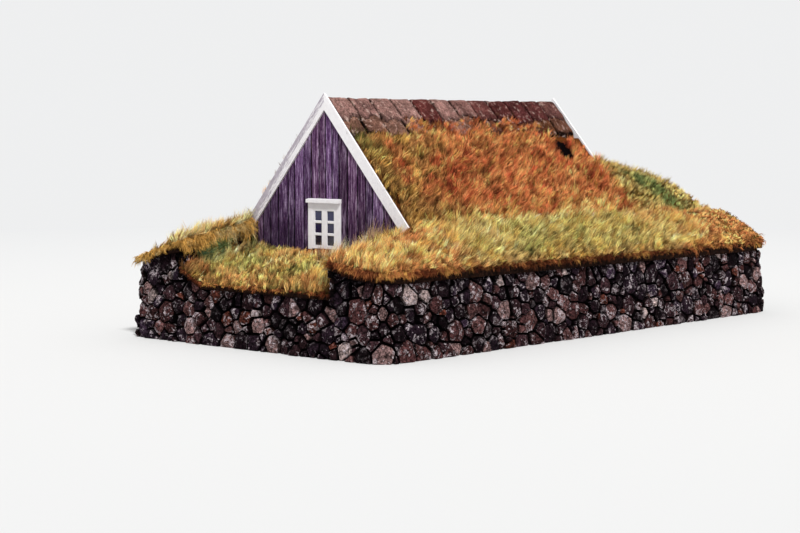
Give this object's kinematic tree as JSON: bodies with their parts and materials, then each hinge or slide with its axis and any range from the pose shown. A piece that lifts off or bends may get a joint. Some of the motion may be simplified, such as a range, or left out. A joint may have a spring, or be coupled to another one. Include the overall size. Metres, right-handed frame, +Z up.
{
  "type": "turf house",
  "caption": "Small turf house: dry-stone walls round earth banks, steep turf roof, boarded gables with white bargeboards, a gable window and a low rear passage.",
  "frame": {"origin": "on the ground, under the middle of the walls' footprint", "axes": "+Z up; Y along the roof ridge, with the window gable towards -Y; +X to the right when facing the window gable"},
  "size_m": [7, 13.13, 4.83],
  "materials": {
    "dry_stone": "rough",
    "turf": "rough",
    "ridge_turf": "rough",
    "white_paint": "matt paint",
    "weathered_boards": "weathered",
    "old_wood": "raw",
    "window_glass": "clear"
  },
  "bodies": {
    "root": {"door_frame": "white_paint", "door_leaf": "weathered_boards", "front_gable_boards": "weathered_boards", "front_left_bargeboard": "white_paint", "front_left_stone_corner": "dry_stone", "front_left_stone_wing": "dry_stone", "front_left_turf_wing": "turf", "front_right_bargeboard": "white_paint", "front_right_stone_corner": "dry_stone", "front_right_stone_wing": "dry_stone", "front_right_turf_wing": "turf", "front_stone_wall": "dry_stone", "front_turf_ledge": "turf", "left_rafters": "old_wood", "left_roof_boards": "old_wood", "left_roof_turf": "turf", "left_stone_wall": "dry_stone", "left_turf_bank": "turf", "left_wall_plate": "old_wood", "passage_lintels": "old_wood", "rear_gable_boards": "weathered_boards", "rear_left_bargeboard": "white_paint", "rear_left_stone_corner": "dry_stone", "rear_left_stone_wall": "dry_stone", "rear_left_turf_bank": "turf", "rear_right_bargeboard": "white_paint", "rear_right_stone_corner": "dry_stone", "rear_right_stone_wall": "dry_stone", "rear_right_turf_bank": "turf", "rear_turf_crown": "turf", "ridge_turf_slabs": "ridge_turf", "right_rafters": "old_wood", "right_roof_boards": "old_wood", "right_roof_turf": "turf", "right_stone_wall": "dry_stone", "right_turf_bank": "turf", "right_wall_plate": "old_wood", "second_turf_course": "ridge_turf", "stones_over_door": "dry_stone", "window_cap": "white_paint", "window_casing": "white_paint", "window_glass": "window_glass", "window_left_casement": "white_paint", "window_right_casement": "white_paint"}
  },
  "joints": []
}
